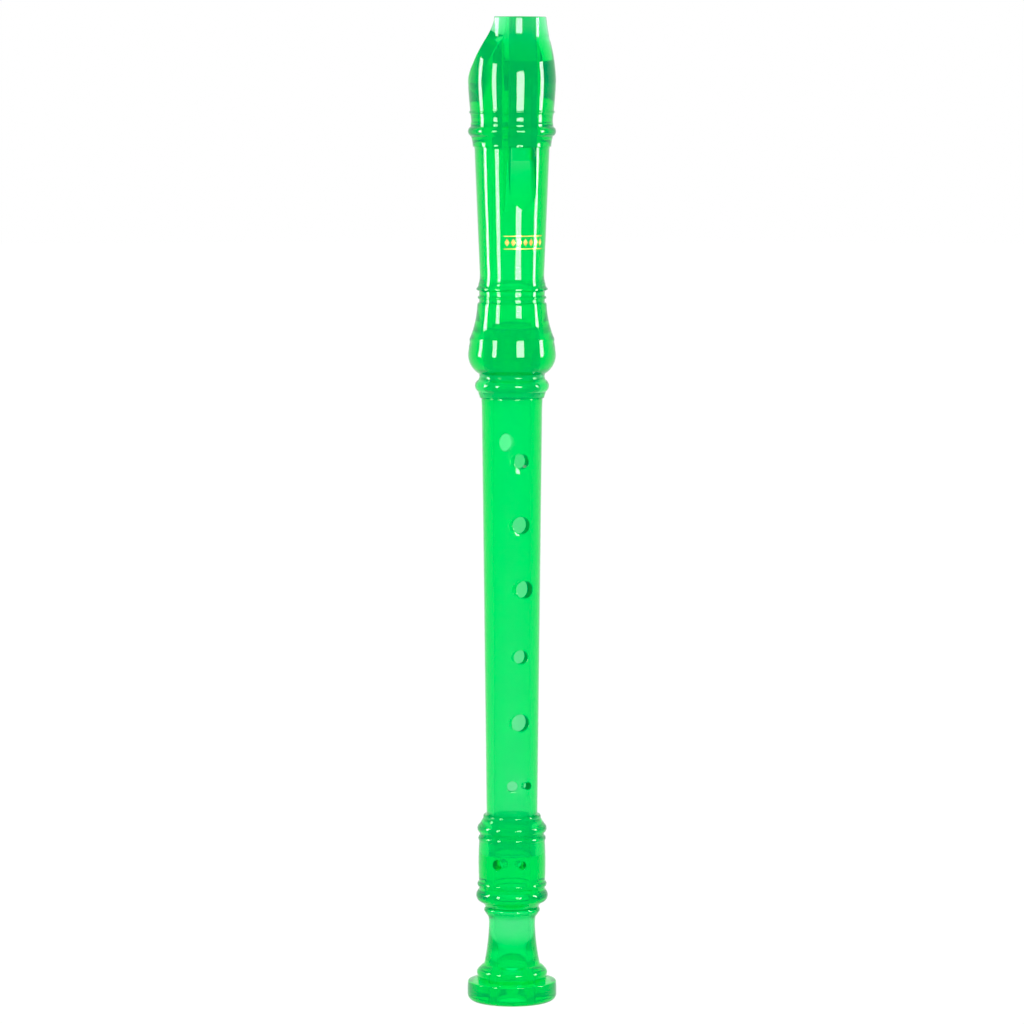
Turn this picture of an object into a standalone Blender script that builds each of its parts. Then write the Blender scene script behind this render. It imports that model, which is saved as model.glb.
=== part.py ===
"""A soprano recorder in clear green plastic: three turned joints that push together, and the block in the head.

Frame: the bell stands on Z = 0, the bore runs up Z and the beak is at the top. The window and the finger holes
face -Y, and the thumb hole faces +Y. Lengths are in metres.

An outline is a list of corners (radius, height, bulge). The bulge is how far the arc that leads to a corner
stands out from the straight line to it: 0 is straight, above 0 is a bead or a barrel, below 0 is a hollow.
"""

from math import atan2, ceil, cos, pi, radians, sin, sqrt

import bmesh
import bpy
from mathutils import Matrix, Vector

# Heights along the bore
LENGTH = 0.3300
HEAD_BOTTOM = 0.2036
FOOT_TOP = 0.0632
GAP = 0.0003  # between pieces that touch on the real recorder
UPPER_TENON_LENGTH = 0.0228
LOWER_TENON_LENGTH = 0.0130
SOCKET_SLACK = 0.0005  # room past the end of each tenon
LEAD_IN = 0.0004  # chamfer at a socket's mouth
TENON_CHAMFER = 0.0005

# Bore and junction radii
HEAD_BORE = 0.0067
MIDDLE_BORE_TOP = 0.00655
MIDDLE_BORE_BOTTOM = 0.0060
FOOT_BORE_TOP = 0.0060
FOOT_BORE_BOTTOM = 0.0052
FOOT_BORE_STEP = (0.0200, 0.0180)  # heights between which the foot's bore narrows
UPPER_TENON_RADIUS = 0.0094
LOWER_TENON_RADIUS = 0.0078

# Voicing: the windway, the window and the sharp edge (labium) that the air meets
WINDOW_TOP = 0.2869
WINDOW_HEIGHT = 0.0043
WINDWAY_WIDTH = 0.0091
WINDWAY_ROOF_AT_WINDOW = 0.0094  # distances from the bore's axis
WINDWAY_ROOF_AT_TIP = 0.0102
WINDWAY_FLOOR_AT_WINDOW = 0.0082
WINDWAY_FLOOR_AT_TIP = 0.0086
LABIUM_EDGE = 0.00885
LABIUM_THICKNESS = 0.0003
RAMP_RISE = 0.172  # outwards for each metre down
UNDERSIDE_RISE = 0.132  # inwards for each metre down
RAMP_REACH = 0.0215

# Beak: its back is cut away along this line of corners (y, height, bulge), and the cut's side edges are rounded
BEAK_CUT_LINE = [
    (-0.0076, LENGTH + 0.0020, 0),
    (-0.0076, 0.3294, 0),
    (-0.0051, 0.3230, -0.00040),  # hollow under the tip
    (-0.00075, 0.3146, -0.00019),
    (0.0055, 0.3082, -0.00015),
    (0.0140, 0.3030, 0),
]
BEAK_EDGE_RADIUS = 0.0006

# Finger holes of the middle joint: height, diameter, degrees round from the front towards +X
MIDDLE_HOLES = {
    "thumb": (0.1882, 0.0060, 180),
    "first": (0.1828, 0.0049, 0),
    "second": (0.1615, 0.0058, 0),
    "third": (0.1399, 0.0058, 8),
    "fourth": (0.1173, 0.0047, 0),
    "fifth": (0.0951, 0.0058, 0),
    "sixth_large": (0.0737, 0.0036, -19),
    "sixth_small": (0.0737, 0.0025, 19),
}
SCOOP_HEIGHT = 0.0738
SCOOP_RADIUS = 0.0130
SCOOP_DEPTH = 0.0008
FOOT_TURN = -23.5  # degrees that the foot is turned to meet the little finger
FOOT_HOLE_HEIGHT = 0.0474
FOOT_HOLES = {
    "foot_large": (FOOT_HOLE_HEIGHT, 0.0034, FOOT_TURN - 22),
    "foot_small": (FOOT_HOLE_HEIGHT, 0.0026, FOOT_TURN + 22),
}

# How far from the axis a cut starts inside the bore, and where it ends outside the wall
INSIDE = 0.0030
OUTSIDE = 0.0160

# Fineness of the round faces
SEGMENTS = 36
HOLE_SEGMENTS = 20
SCOOP_SEGMENTS = 72
ARC_FLATNESS = 0.00006  # how far a drawn arc may stand off the true one

# Outer outlines, from the top down
HEAD_OUTLINE = [
    (0.01236, LENGTH, 0),
    (0.01254, 0.3228, -0.00003),  # lip of the beak
    (0.01423, 0.3146, 0.00015),
    (0.01465, 0.3090, 0.00006),  # swelling of the barrel
    (0.01392, 0.2991, 0.00010),
    (0.01385, 0.2980, 0.00034),  # thin ridge
    (0.01356, 0.2953, -0.00005),
    (0.01372, 0.2949, 0),
    (0.01374, 0.2938, 0),
    (0.01360, 0.2905, 0.00098),  # heavy bead
    (0.01308, 0.2878, -0.00005),
    (0.01303, 0.2872, 0),
    (0.01258, 0.2870, 0),
    (0.01246, 0.2862, 0),
    (0.01073, 0.2446, 0),  # straight taper of the head tube
    (0.01078, 0.2432, 0),
    (0.01094, 0.2427, 0),
    (0.01096, 0.2422, 0),
    (0.01117, 0.2417, 0),
    (0.01119, 0.2412, 0),
    (0.01190, 0.2401, -0.00010),
    (0.01196, 0.2397, 0),  # sharp flange
    (0.01098, 0.2391, 0),
    (0.01095, 0.2376, 0),
    (0.01095, 0.2365, 0.00052),  # thin bead
    (0.01096, 0.2355, 0),
    (0.01145, 0.2352, 0),
    (0.01158, 0.2347, 0),
    (0.01412, 0.2234, -0.00052),  # flare of the bulb
    (0.01422, 0.2230, 0),
    (0.01410, 0.2223, 0),
    (0.01466, 0.2182, 0.00005),
    (0.01105, 0.2116, 0.00102),  # round underside of the bulb
    (0.01088, 0.2108, 0),
    (0.01130, 0.2096, -0.00010),
    (0.01130, 0.2056, 0.00108),  # bead over the socket
    (0.01112, 0.2047, 0),
    (0.01086, 0.2041, 0),
    (0.01078, HEAD_BOTTOM, 0),
]
MIDDLE_OUTLINE = [
    (0.01025, HEAD_BOTTOM - GAP, 0),
    (0.01007, 0.1985, -0.00004),
    (0.00854, FOOT_TOP + GAP, 0),
]
FOOT_OUTLINE = [
    (0.00940, FOOT_TOP, 0),
    (0.00960, 0.0622, 0.00018),
    (0.01018, 0.0612, 0),
    (0.01135, 0.0596, -0.00008),
    (0.01080, 0.0570, 0.00056),  # bead over the socket
    (0.01078, 0.0562, 0),
    (0.01104, 0.0544, 0.00044),
    (0.01112, 0.0406, 0.00022),  # barrel with the little-finger holes
    (0.01105, 0.0387, 0.00056),
    (0.01110, 0.0378, 0),
    (0.01000, 0.0334, 0.00150),  # heavy bead
    (0.00880, 0.0317, -0.00010),
    (0.00930, 0.0304, 0.00030),
    (0.00795, 0.0285, 0),
    (0.00775, 0.0260, -0.00004),  # neck of the bell
    (0.00925, 0.0131, -0.00028),
    (0.00940, 0.0124, 0),
    (0.01125, 0.0108, 0.00012),
    (0.01187, 0.0094, 0.00018),  # bead over the bell's disc
    (0.01166, 0.0087, 0),
    (0.01160, 0.0070, 0),
    (0.01440, 0.0068, 0),
    (0.01485, 0.0064, 0.00010),
    (0.01500, 0.0046, 0),
    (0.01500, 0.0023, 0),
    (0.01275, 0.0000, 0.00066),  # rounded foot of the disc
]


def arc(start, end, bulge):
    """The points that lead from start to end along an arc, without start itself."""
    chord = Vector(end) - Vector(start)
    length = chord.length
    along = chord / length
    outwards = Vector((-along.y, along.x))
    half_angle = 2 * atan2(2 * bulge, length)
    steps = ceil(sqrt(abs(bulge) / ARC_FLATNESS))
    if steps < 2:
        return [tuple(end)]
    radius = length / 2 / sin(half_angle)
    centre = (Vector(start) + Vector(end)) / 2 - outwards * radius * cos(half_angle)
    points = []
    for step in range(1, steps):
        angle = half_angle * (2 * step / steps - 1)
        points.append(tuple(centre + radius * (sin(angle) * along + cos(angle) * outwards)))
    return points + [tuple(end)]


def trace(outline):
    """The (radius, height) points of an outline of corners with bulges."""
    points = [outline[0][:2]]
    for radius, height, bulge in outline[1:]:
        points += arc(points[-1], (radius, height), bulge)
    return points


def new_collection(name):
    collection = bpy.data.collections.new(name)
    bpy.context.scene.collection.children.link(collection)
    return collection


def new_object(name, mesh, collection):
    piece = bpy.data.objects.new(name, mesh)
    collection.objects.link(piece)
    return piece


def make_cutter(cutter):
    """Hides a helper from renders and shows it as wire."""
    cutter.hide_render = True
    cutter.display_type = "WIRE"
    return cutter


def clear_plastic(name, colour):
    """Glossy clear plastic. The colour is scene-linear red, green and blue."""
    material = bpy.data.materials.new(name)
    material.use_nodes = True
    shader = material.node_tree.nodes["Principled BSDF"]
    shader.inputs["Base Color"].default_value = (*colour, 1)
    shader.inputs["Roughness"].default_value = 0.08
    shader.inputs["IOR"].default_value = 1.53
    shader.inputs["Transmission Weight"].default_value = 0.9
    material.diffuse_color = (*colour, 1)
    return material


def turned(name, outline, bore, origin, collection):
    """A hollow turned piece: its outline and its bore, both from the top down, spun round Z.

    The object's origin is on the bore's axis, at the height given.
    """
    loop = trace(outline) + list(reversed(bore))
    mesh = bpy.data.meshes.new(name)
    points = [(radius, 0, height - origin) for radius, height in loop]
    edges = [(i, (i + 1) % len(points)) for i in range(len(points))]
    mesh.from_pydata(points, edges, [])
    piece = new_object(name, mesh, collection)
    piece.location.z = origin
    screw = piece.modifiers.new("turn", "SCREW")
    screw.steps = SEGMENTS
    screw.render_steps = SEGMENTS
    screw.use_merge_vertices = True
    screw.merge_threshold = 1e-6
    screw.use_smooth_shade = True
    return piece


def slab(name, outline, width, collection):
    """A flat shape of (Y, Z) corners, made width thick along X and centred on X = 0."""
    curve = bpy.data.curves.new(name, "CURVE")
    curve.dimensions = "2D"
    curve.fill_mode = "BOTH"
    curve.extrude = width / 2
    spline = curve.splines.new("POLY")
    spline.points.add(len(outline) - 1)
    for point, (y, z) in zip(spline.points, outline):
        point.co = (y, z, 0, 1)
    spline.use_cyclic_u = True
    flat = new_object(name + "_outline", curve, collection)
    flat.matrix_world = Matrix(((0, 0, 1, 0), (1, 0, 0, 0), (0, 1, 0, 0), (0, 0, 0, 1)))
    bpy.context.view_layer.update()
    mesh = bpy.data.meshes.new_from_object(flat.evaluated_get(bpy.context.evaluated_depsgraph_get()))
    body = bmesh.new()
    body.from_mesh(mesh)
    bmesh.ops.remove_doubles(body, verts=body.verts, dist=1e-6)
    bmesh.ops.recalc_face_normals(body, faces=body.faces)
    body.to_mesh(mesh)
    body.free()
    solid = new_object(name, mesh, collection)
    solid.matrix_world = flat.matrix_world
    bpy.data.objects.remove(flat)
    return solid


def rod(name, radius, length, segments, collection):
    """A cylinder along Z, centred on the origin."""
    body = bmesh.new()
    bmesh.ops.create_cone(
        body, cap_ends=True, segments=segments, radius1=radius, radius2=radius, depth=length
    )
    mesh = bpy.data.meshes.new(name)
    body.to_mesh(mesh)
    body.free()
    return new_object(name, mesh, collection)


def combine(piece, other, operation):
    modifier = piece.modifiers.new(other.name, "BOOLEAN")
    modifier.object = other
    modifier.operation = operation
    modifier.solver = "EXACT"


def cut_holes(piece, holes, cutters):
    """Drills each hole from inside the bore outwards."""
    start, end = INSIDE, OUTSIDE
    for name, (height, diameter, degrees) in holes.items():
        drill = rod(name + "_hole", diameter / 2, end - start, HOLE_SEGMENTS, cutters)
        turn = Matrix.Rotation(radians(degrees), 4, "Z")
        outwards = Matrix.Translation((0, -(start + end) / 2, height)) @ Matrix.Rotation(pi / 2, 4, "X")
        drill.matrix_world = turn @ outwards
        combine(piece, make_cutter(drill), "DIFFERENCE")


def outside_radius(outline, height):
    """The outline's radius at a height, read between its traced points."""
    points = trace(outline)
    for (upper_radius, upper), (lower_radius, lower) in zip(points, points[1:]):
        if lower <= height <= upper and lower < upper:
            return lower_radius + (upper_radius - lower_radius) * (height - lower) / (upper - lower)
    return points[0][0] if height > points[0][1] else points[-1][0]


def beak_cut_row(cut, height):
    """One level row of the cutter's face: flat in the middle, then round each side edge, then clear of the beak."""
    edge = BEAK_EDGE_RADIUS
    narrowest, least, most = 0.0005, radians(5), radians(88)
    outside = outside_radius(HEAD_OUTLINE, height)
    centre_y = cut - edge
    centre_x = sqrt(max(narrowest**2, (outside - edge) ** 2 - centre_y**2))
    last = min(most, max(least, atan2(centre_x, centre_y)))
    half = []
    steps = 4
    for step in range(steps + 1):
        angle = last * step / steps
        half.append((centre_x + edge * sin(angle), centre_y + edge * cos(angle)))
    clear, far = 0.0140, 0.0400
    x, y = half[-1]
    half.append((x + clear * cos(last), y - clear * sin(last)))
    half.append((far, half[-1][1]))
    return [(-x, y) for x, y in reversed(half)] + half


def beak_cut(cutters):
    """The hollow curve that thins the beak from behind and rounds its side edges."""
    line = trace(BEAK_CUT_LINE)
    rows = [[(x, y, height) for x, y in beak_cut_row(cut, height)] for cut, height in line]
    body = bmesh.new()
    grid = [[body.verts.new(point) for point in row] for row in rows]
    for upper, lower in zip(grid, grid[1:]):
        for i in range(len(upper) - 1):
            body.faces.new((upper[i], lower[i], lower[i + 1], upper[i + 1]))
    back = bmesh.ops.extrude_face_region(body, geom=body.faces[:], use_keep_orig=True)
    moved = [item for item in back["geom"] if isinstance(item, bmesh.types.BMVert)]
    behind = 0.0600
    bmesh.ops.translate(body, verts=moved, vec=(0, behind, 0))
    bmesh.ops.recalc_face_normals(body, faces=body.faces)
    mesh = bpy.data.meshes.new("beak_cut")
    body.to_mesh(mesh)
    body.free()
    return make_cutter(new_object("beak_cut", mesh, cutters))


def mouth_cut(cutters):
    """Window, ramp and the hollow under the labium, as one outline that leaves the labium's wedge standing."""
    window_bottom = WINDOW_TOP - WINDOW_HEIGHT
    ramp_end = window_bottom - RAMP_REACH
    inner_edge = LABIUM_EDGE - LABIUM_THICKNESS
    meets_bore = HEAD_BORE - 0.0004
    underside_reach = (inner_edge - meets_bore) / UNDERSIDE_RISE
    outline = [
        (-OUTSIDE, WINDOW_TOP),
        (-INSIDE, WINDOW_TOP),
        (-INSIDE, window_bottom - underside_reach),
        (-meets_bore, window_bottom - underside_reach),
        (-inner_edge, window_bottom),
        (-LABIUM_EDGE, window_bottom),
        (-LABIUM_EDGE - RAMP_RISE * RAMP_REACH, ramp_end),
        (-OUTSIDE, ramp_end),
    ]
    return make_cutter(slab("mouth_cut", outline, WINDWAY_WIDTH, cutters))


def windway_cut(cutters):
    """The slot in the head that the block's rib stands in, open to the bore below it."""
    below, above = 0.0010, 0.0020
    outline = [
        (-WINDWAY_ROOF_AT_TIP, LENGTH + above),
        (-WINDWAY_ROOF_AT_TIP, LENGTH),
        (-WINDWAY_ROOF_AT_WINDOW, WINDOW_TOP - below),
        (-INSIDE, WINDOW_TOP - below),
        (-INSIDE, LENGTH + above),
    ]
    return make_cutter(slab("windway_cut", outline, WINDWAY_WIDTH, cutters))


def head_shell(parts, cutters):
    socket = UPPER_TENON_RADIUS + GAP
    socket_end = HEAD_BOTTOM + UPPER_TENON_LENGTH + SOCKET_SLACK
    bore = [
        (HEAD_BORE, LENGTH),
        (HEAD_BORE, socket_end),
        (socket, socket_end),
        (socket, HEAD_BOTTOM + LEAD_IN),
        (socket + LEAD_IN, HEAD_BOTTOM),
    ]
    head = turned("head_shell", HEAD_OUTLINE, bore, HEAD_BOTTOM, parts)
    combine(head, windway_cut(cutters), "DIFFERENCE")
    combine(head, mouth_cut(cutters), "DIFFERENCE")
    combine(head, bpy.data.objects["beak_cut"], "DIFFERENCE")
    return head


def block(parts, cutters):
    """The plug that fills the top of the bore, with the rib whose flat top is the windway's floor."""
    length = LENGTH - WINDOW_TOP
    inside = 0.0020
    plug = rod("block", HEAD_BORE - GAP, length, SEGMENTS, parts)
    plug.location.z = WINDOW_TOP + length / 2
    outline = [
        (-WINDWAY_FLOOR_AT_TIP, LENGTH),
        (-WINDWAY_FLOOR_AT_WINDOW, WINDOW_TOP),
        (-inside, WINDOW_TOP),
        (-inside, LENGTH),
    ]
    rib = make_cutter(slab("block_rib", outline, WINDWAY_WIDTH - 2 * GAP, cutters))
    combine(plug, rib, "UNION")
    combine(plug, bpy.data.objects["beak_cut"], "DIFFERENCE")
    return plug


def middle_joint(parts, cutters):
    top = HEAD_BOTTOM - GAP
    bottom = FOOT_TOP + GAP
    upper_end = HEAD_BOTTOM + UPPER_TENON_LENGTH
    lower_end = FOOT_TOP - LOWER_TENON_LENGTH
    chamfer = TENON_CHAMFER
    outline = [
        (UPPER_TENON_RADIUS - chamfer, upper_end, 0),
        (UPPER_TENON_RADIUS, upper_end - chamfer, 0),
        (UPPER_TENON_RADIUS, top, 0),
        *MIDDLE_OUTLINE,
        (LOWER_TENON_RADIUS, bottom, 0),
        (LOWER_TENON_RADIUS, lower_end + chamfer, 0),
        (LOWER_TENON_RADIUS - chamfer, lower_end, 0),
    ]
    bore = [(MIDDLE_BORE_TOP, upper_end), (MIDDLE_BORE_BOTTOM, lower_end)]
    middle = turned("middle_joint", outline, bore, bottom, parts)
    scoop = rod("scoop_cut", SCOOP_RADIUS, 2 * UPPER_TENON_RADIUS, SCOOP_SEGMENTS, cutters)
    surface = outside_radius(MIDDLE_OUTLINE, SCOOP_HEIGHT)
    scoop.location = (0, -surface - SCOOP_RADIUS + SCOOP_DEPTH, SCOOP_HEIGHT)
    scoop.rotation_euler.y = pi / 2
    combine(middle, make_cutter(scoop), "DIFFERENCE")
    cut_holes(middle, MIDDLE_HOLES, cutters)
    return middle


def foot_joint(parts, cutters):
    socket = LOWER_TENON_RADIUS + GAP
    socket_end = FOOT_TOP - LOWER_TENON_LENGTH - SOCKET_SLACK
    step_top, step_bottom = FOOT_BORE_STEP
    bore = [
        (socket + LEAD_IN, FOOT_TOP),
        (socket, FOOT_TOP - LEAD_IN),
        (socket, socket_end),
        (FOOT_BORE_TOP, socket_end),
        (FOOT_BORE_TOP, step_top),
        (FOOT_BORE_BOTTOM, step_bottom),
        (FOOT_BORE_BOTTOM, 0),
    ]
    foot = turned("foot_joint", FOOT_OUTLINE, bore, FOOT_TOP, parts)
    cut_holes(foot, FOOT_HOLES, cutters)
    return foot


def settle(piece):
    """Fixes a piece's modifiers into its mesh and keeps its turned edges crisp."""
    graph = bpy.context.evaluated_depsgraph_get()
    mesh = bpy.data.meshes.new_from_object(piece.evaluated_get(graph))
    piece.modifiers.clear()
    piece.data = mesh
    mesh.shade_smooth()
    mesh.set_sharp_from_angle(angle=radians(35))


def attach(piece, parent):
    """Parents a piece and leaves it where it stands."""
    piece.parent = parent
    piece.matrix_parent_inverse = parent.matrix_world.inverted()


def build():
    for old in list(bpy.data.objects):
        bpy.data.objects.remove(old)
    parts = new_collection("soprano_recorder")
    cutters = new_collection("cutters")
    beak_cut(cutters)
    pieces = {
        "head": head_shell(parts, cutters),
        "block": block(parts, cutters),
        "middle": middle_joint(parts, cutters),
        "foot": foot_joint(parts, cutters),
    }
    bpy.context.view_layer.update()
    for piece in pieces.values():
        settle(piece)
        piece.data.materials.clear()
        piece.data.materials.append(clear_plastic(piece.name + "_plastic", (0.0, 0.55, 0.12)))
    attach(pieces["block"], pieces["head"])
    attach(pieces["head"], pieces["middle"])
    attach(pieces["foot"], pieces["middle"])
    cutters.hide_render = True


build()
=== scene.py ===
"""How the soprano recorder looks: three turned joints and a block in clear green plastic, with a foil
ornament on the head.

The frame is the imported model's: metres, the bell stands on Z = 0, the bore runs up Z, and the window and
the finger holes face -Y. An outline is a list of corners (radius, height, bulge). The bulge is how far the
arc that leads to a corner stands out from the straight line to it: 0 is straight, above 0 is a bead, below
0 a hollow.
"""

from math import atan2, ceil, cos, pi, radians, sin, sqrt

import bmesh
import bpy
from mathutils import Matrix, Vector


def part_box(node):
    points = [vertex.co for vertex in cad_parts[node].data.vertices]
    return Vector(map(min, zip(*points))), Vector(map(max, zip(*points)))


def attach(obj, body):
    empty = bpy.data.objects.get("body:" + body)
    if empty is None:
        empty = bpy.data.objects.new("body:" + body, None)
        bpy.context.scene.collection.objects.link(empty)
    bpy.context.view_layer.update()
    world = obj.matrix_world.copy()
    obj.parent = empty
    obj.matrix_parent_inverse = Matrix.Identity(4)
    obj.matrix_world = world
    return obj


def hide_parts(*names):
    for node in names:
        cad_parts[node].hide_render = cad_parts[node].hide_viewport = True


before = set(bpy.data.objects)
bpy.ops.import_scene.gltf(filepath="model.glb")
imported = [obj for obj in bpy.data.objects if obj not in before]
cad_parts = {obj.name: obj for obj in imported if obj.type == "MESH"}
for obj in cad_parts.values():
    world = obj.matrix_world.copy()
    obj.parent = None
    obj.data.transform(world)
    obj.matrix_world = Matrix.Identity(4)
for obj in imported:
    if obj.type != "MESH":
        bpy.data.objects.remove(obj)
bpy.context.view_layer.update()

# Heights that the frame gives
head_low, head_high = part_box("head_shell")
middle_low, middle_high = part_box("middle_joint")
LENGTH = head_high.z
HEAD_BOTTOM = head_low.z
FOOT_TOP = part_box("foot_joint")[1].z
WINDOW_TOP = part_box("block")[0].z

# Junctions: what looks like a tight fit keeps a hair of air, so that each piece shades on its own
AIR = 0.00008
SHOULDER_GAP = 0.0003
HEAD_BORE = 0.0067
MIDDLE_BORE_TOP = 0.00655
MIDDLE_BORE_BOTTOM = 0.0060
FOOT_BORE_TOP = 0.0060
FOOT_BORE_BOTTOM = 0.0052
FOOT_BORE_STEP = (0.0200, 0.0180)
UPPER_SOCKET_RADIUS = 0.0097
LOWER_SOCKET_RADIUS = 0.0081
SOCKET_SLACK = 0.0005
LEAD_IN = 0.0004
TENON_CHAMFER = 0.0005
BLOCK_CHAMFER = 0.0004
RIB_HEIGHT = 0.00025
RIB_PITCH = 0.0011
RIB_GROOVE = 0.4  # share of the pitch that lies flat between two ribs
PLAIN_END = 0.0030  # each end of a tenon has no ribs

# Voicing: the windway, the window and the sharp edge (labium) that the air meets
WINDOW_HEIGHT = 0.0043
WINDWAY_WIDTH = 0.0091
WINDWAY_ROOF_AT_WINDOW = 0.0094
WINDWAY_ROOF_AT_TIP = 0.0102
WINDWAY_FLOOR_AT_WINDOW = 0.0082
WINDWAY_FLOOR_AT_TIP = 0.0086
LABIUM_EDGE = 0.00885
LABIUM_THICKNESS = 0.0003
RAMP_RISE = 0.172
UNDERSIDE_RISE = 0.132
RAMP_REACH = 0.0215
MEETS_BORE = HEAD_BORE - 0.0004  # the hollow under the labium runs out just inside the bore's wall

# The beak's back is cut away along these corners (y, height, bulge), and the cut's side edges are rounded
BEAK_CUT_LINE = [
    (-0.0076, LENGTH + 0.0020, 0),
    (-0.0076, 0.3294, 0),
    (-0.0051, 0.3230, -0.00040),
    (-0.00075, 0.3146, -0.00019),
    (0.0055, 0.3082, -0.00015),
    (0.0140, 0.3030, 0),
]
BEAK_EDGE_RADIUS = 0.0006
NARROWEST_BEAK_CUT = 0.0005
BEAK_EDGE_SWEEP = (radians(5), radians(88))

# Finger holes: height, diameter, degrees round from the front towards +X
MIDDLE_HOLES = {
    "thumb": (0.1882, 0.0060, 180),
    "first": (0.1828, 0.0049, 0),
    "second": (0.1615, 0.0058, 0),
    "third": (0.1399, 0.0058, 8),
    "fourth": (0.1173, 0.0047, 0),
    "fifth": (0.0951, 0.0058, 0),
    "sixth_large": (0.0737, 0.0036, -19),
    "sixth_small": (0.0737, 0.0025, 19),
}
SCOOP_HEIGHT = 0.0738
SCOOP_RADIUS = 0.0130
SCOOP_DEPTH = 0.0008
SCOOP_WIDTH = 0.0200
FOOT_TURN = -23.5
FOOT_HOLE_HEIGHT = 0.0474
FOOT_HOLES = {
    "foot_large": (FOOT_HOLE_HEIGHT, 0.0034, FOOT_TURN - 22),
    "foot_small": (FOOT_HOLE_HEIGHT, 0.0026, FOOT_TURN + 22),
}
RIM_RADIUS = 0.00035  # rounding of a finger hole's outer rim
RIM_SWEEP = radians(76)
RIM_RUN_OUT = 0.0003

# How far the cutting tools reach, from the bore's axis and above a surface
CUT_INSIDE = 0.0030
CUT_OUTSIDE = 0.0160
CUT_ABOVE = 0.0030
BLOCK_RIB_ROOT = 0.0020

# Fineness of the visible surfaces
SEGMENTS = 144
HOLE_SEGMENTS = 48
SCOOP_SEGMENTS = 180
EDGE_STEPS = 12
RIM_STEPS = 6
SEAM = 1e-6  # points nearer than this are one point
SHARP_EDGE = radians(32)
ARC_FLATNESS = 0.000004
LONGEST_STEP = 0.0030
LARGEST_ROUNDED_FACE = LONGEST_STEP**2  # a larger face at the front is the flat of the ramp or of the block
FACES_FRONT = -0.9  # the normal's Y of a face that is turned to the front

HEAD_OUTLINE = [
    (0.01186, LENGTH, 0),
    (0.01236, LENGTH - 0.0005, 0.00015),
    (0.01254, 0.3228, -0.00003),  # lip of the beak
    (0.01423, 0.3146, 0.00015),
    (0.01465, 0.3090, 0.00006),  # swelling of the barrel
    (0.01392, 0.2991, 0.00010),
    (0.01385, 0.2980, 0.00034),  # thin ridge
    (0.01356, 0.2953, -0.00005),
    (0.01372, 0.2949, 0),
    (0.01374, 0.2938, 0),
    (0.01360, 0.2905, 0.00098),  # heavy bead
    (0.01308, 0.2878, -0.00005),
    (0.01303, 0.2872, 0),
    (0.01258, 0.2870, 0),
    (0.01246, 0.2862, 0),
    (0.01073, 0.2446, 0),  # straight taper of the head tube
    (0.01078, 0.2432, 0),
    (0.01094, 0.2427, 0),
    (0.01096, 0.2422, 0),
    (0.01117, 0.2417, 0),
    (0.01119, 0.2412, 0),
    (0.01190, 0.2401, -0.00010),
    (0.01196, 0.2397, 0),  # sharp flange
    (0.01098, 0.2391, 0),
    (0.01095, 0.2376, 0),
    (0.01095, 0.2365, 0.00052),  # thin bead
    (0.01096, 0.2355, 0),
    (0.01145, 0.2352, 0),
    (0.01158, 0.2347, 0),
    (0.01412, 0.2234, -0.00052),  # flare of the bulb
    (0.01422, 0.2230, 0),
    (0.01410, 0.2223, 0),
    (0.01466, 0.2182, 0.00005),
    (0.01105, 0.2116, 0.00102),  # round underside of the bulb
    (0.01088, 0.2108, 0),
    (0.01130, 0.2096, -0.00010),
    (0.01130, 0.2056, 0.00108),  # bead over the socket
    (0.01112, 0.2047, 0),
    (0.01086, 0.2041, 0),
    (0.01078, HEAD_BOTTOM, 0),
]
MIDDLE_OUTLINE = [
    (0.01025, HEAD_BOTTOM - SHOULDER_GAP, 0),
    (0.01007, 0.1985, -0.00004),
    (0.00854, FOOT_TOP + SHOULDER_GAP, 0),
]
FOOT_OUTLINE = [
    (0.00940, FOOT_TOP, 0),
    (0.00960, 0.0622, 0.00018),
    (0.01018, 0.0612, 0),
    (0.01135, 0.0596, -0.00008),
    (0.01080, 0.0570, 0.00056),  # bead over the socket
    (0.01078, 0.0562, 0),
    (0.01104, 0.0544, 0.00044),
    (0.01112, 0.0406, 0.00022),  # barrel with the little-finger holes
    (0.01105, 0.0387, 0.00056),
    (0.01110, 0.0378, 0),
    (0.01000, 0.0334, 0.00150),  # heavy bead
    (0.00880, 0.0317, -0.00010),
    (0.00930, 0.0304, 0.00030),
    (0.00795, 0.0285, 0),
    (0.00775, 0.0260, -0.00004),  # neck of the bell
    (0.00925, 0.0131, -0.00028),
    (0.00940, 0.0124, 0),
    (0.01125, 0.0108, 0.00012),
    (0.01187, 0.0094, 0.00018),  # bead over the bell's disc
    (0.01166, 0.0087, 0),
    (0.01160, 0.0070, 0),
    (0.01440, 0.0068, 0),
    (0.01485, 0.0064, 0.00010),
    (0.01500, 0.0046, 0),
    (0.01500, 0.0023, 0),
    (0.01275, 0.0000, 0.00066),  # rounded foot of the disc
]

# Foil ornament: a row of lozenges between two lines, wrapped round the front of the head tube
FOIL_HEIGHT_ON_TUBE = 0.2556
FOIL_TURN = radians(4)
FOIL_LENGTH = 0.0146
FOIL_WIDTH = 0.0042
FOIL_LINE = 0.00028
FOIL_LOZENGES = 7
LOZENGE_LENGTH = 0.55  # of the spacing
LOZENGE_WIDTH = 0.42  # of the foil's width
FOIL_LIFT = 0.00002
FOIL_THICKNESS = 0.00003
DARK_GOLD = (0.72, 0.36, 0.05)
BRIGHT_GOLD = (1.0, 0.78, 0.22)

# Plastic: the share of its surface that scatters light, and the colour of that
SHELL_MILK = (0.17, (0.0, 0.76, 0.15))
BLOCK_MILK = (0.50, (0.0, 0.42, 0.055))
DEPTH_COLOUR = (0.0, 0.96, 0.38)
DEPTH_DENSITY = 480
PLASTIC_IOR = 1.53
PREVIEW_GREEN = (0.0, 0.6, 0.15, 1)
DRAW_MARKS_PER_METRE = (900, 900, 12)
RELIEF_HEIGHT = 0.00003

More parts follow.
